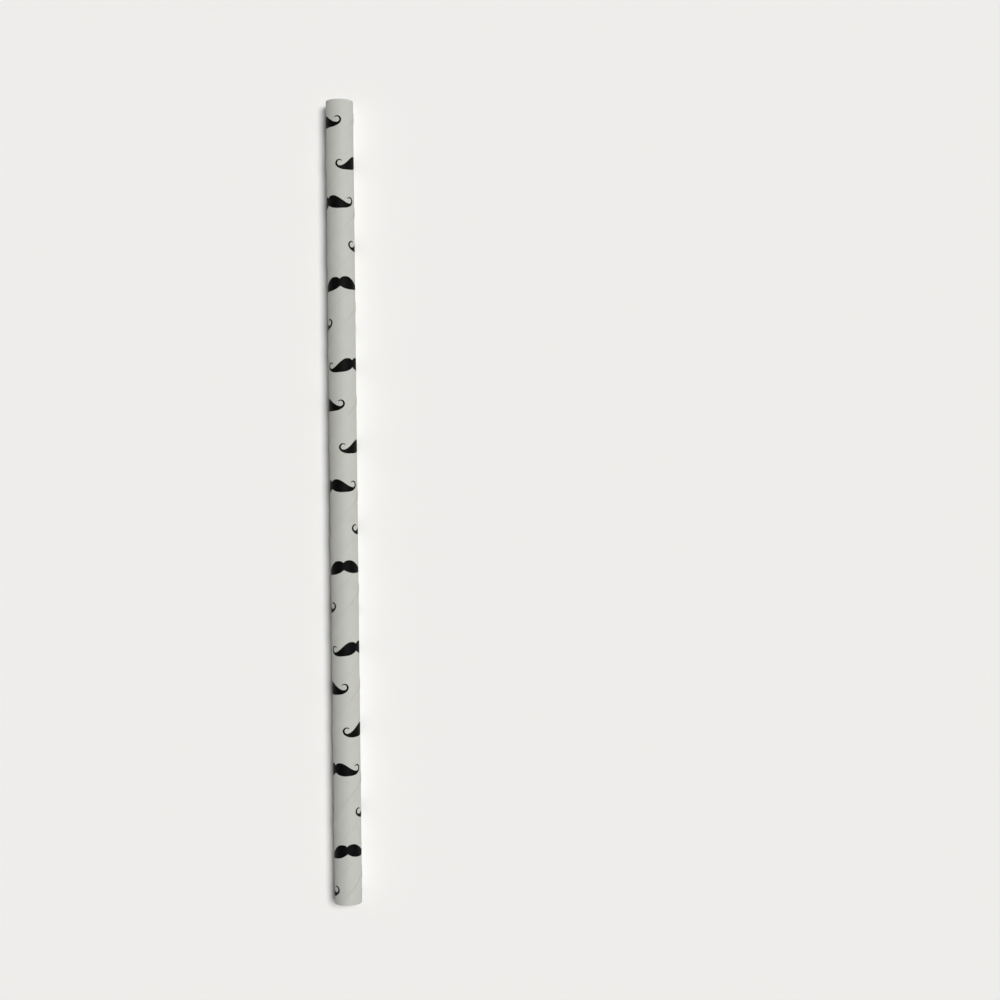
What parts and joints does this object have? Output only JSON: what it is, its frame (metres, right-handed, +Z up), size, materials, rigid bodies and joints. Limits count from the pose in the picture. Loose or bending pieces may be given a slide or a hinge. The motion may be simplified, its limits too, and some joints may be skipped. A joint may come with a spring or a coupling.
{
  "type": "paper drinking straw",
  "caption": "Straight wound paper drinking straw, white with a printed row of black curled moustaches and a fine spiral seam, open at both ends.",
  "frame": {"origin": "under the middle of the straw, on the surface that it lies on", "axes": "+Y along the straw towards the end that the moustaches curl to, +Z up"},
  "size_m": [0.0068, 0.197, 0.0069],
  "materials": {
    "white_paper": "smooth uncoated paper, faintly satin",
    "black_ink": "satin black print on paper"
  },
  "bodies": {
    "root": {"paper_tube": "white_paper", "moustache_print": "black_ink"}
  },
  "joints": []
}
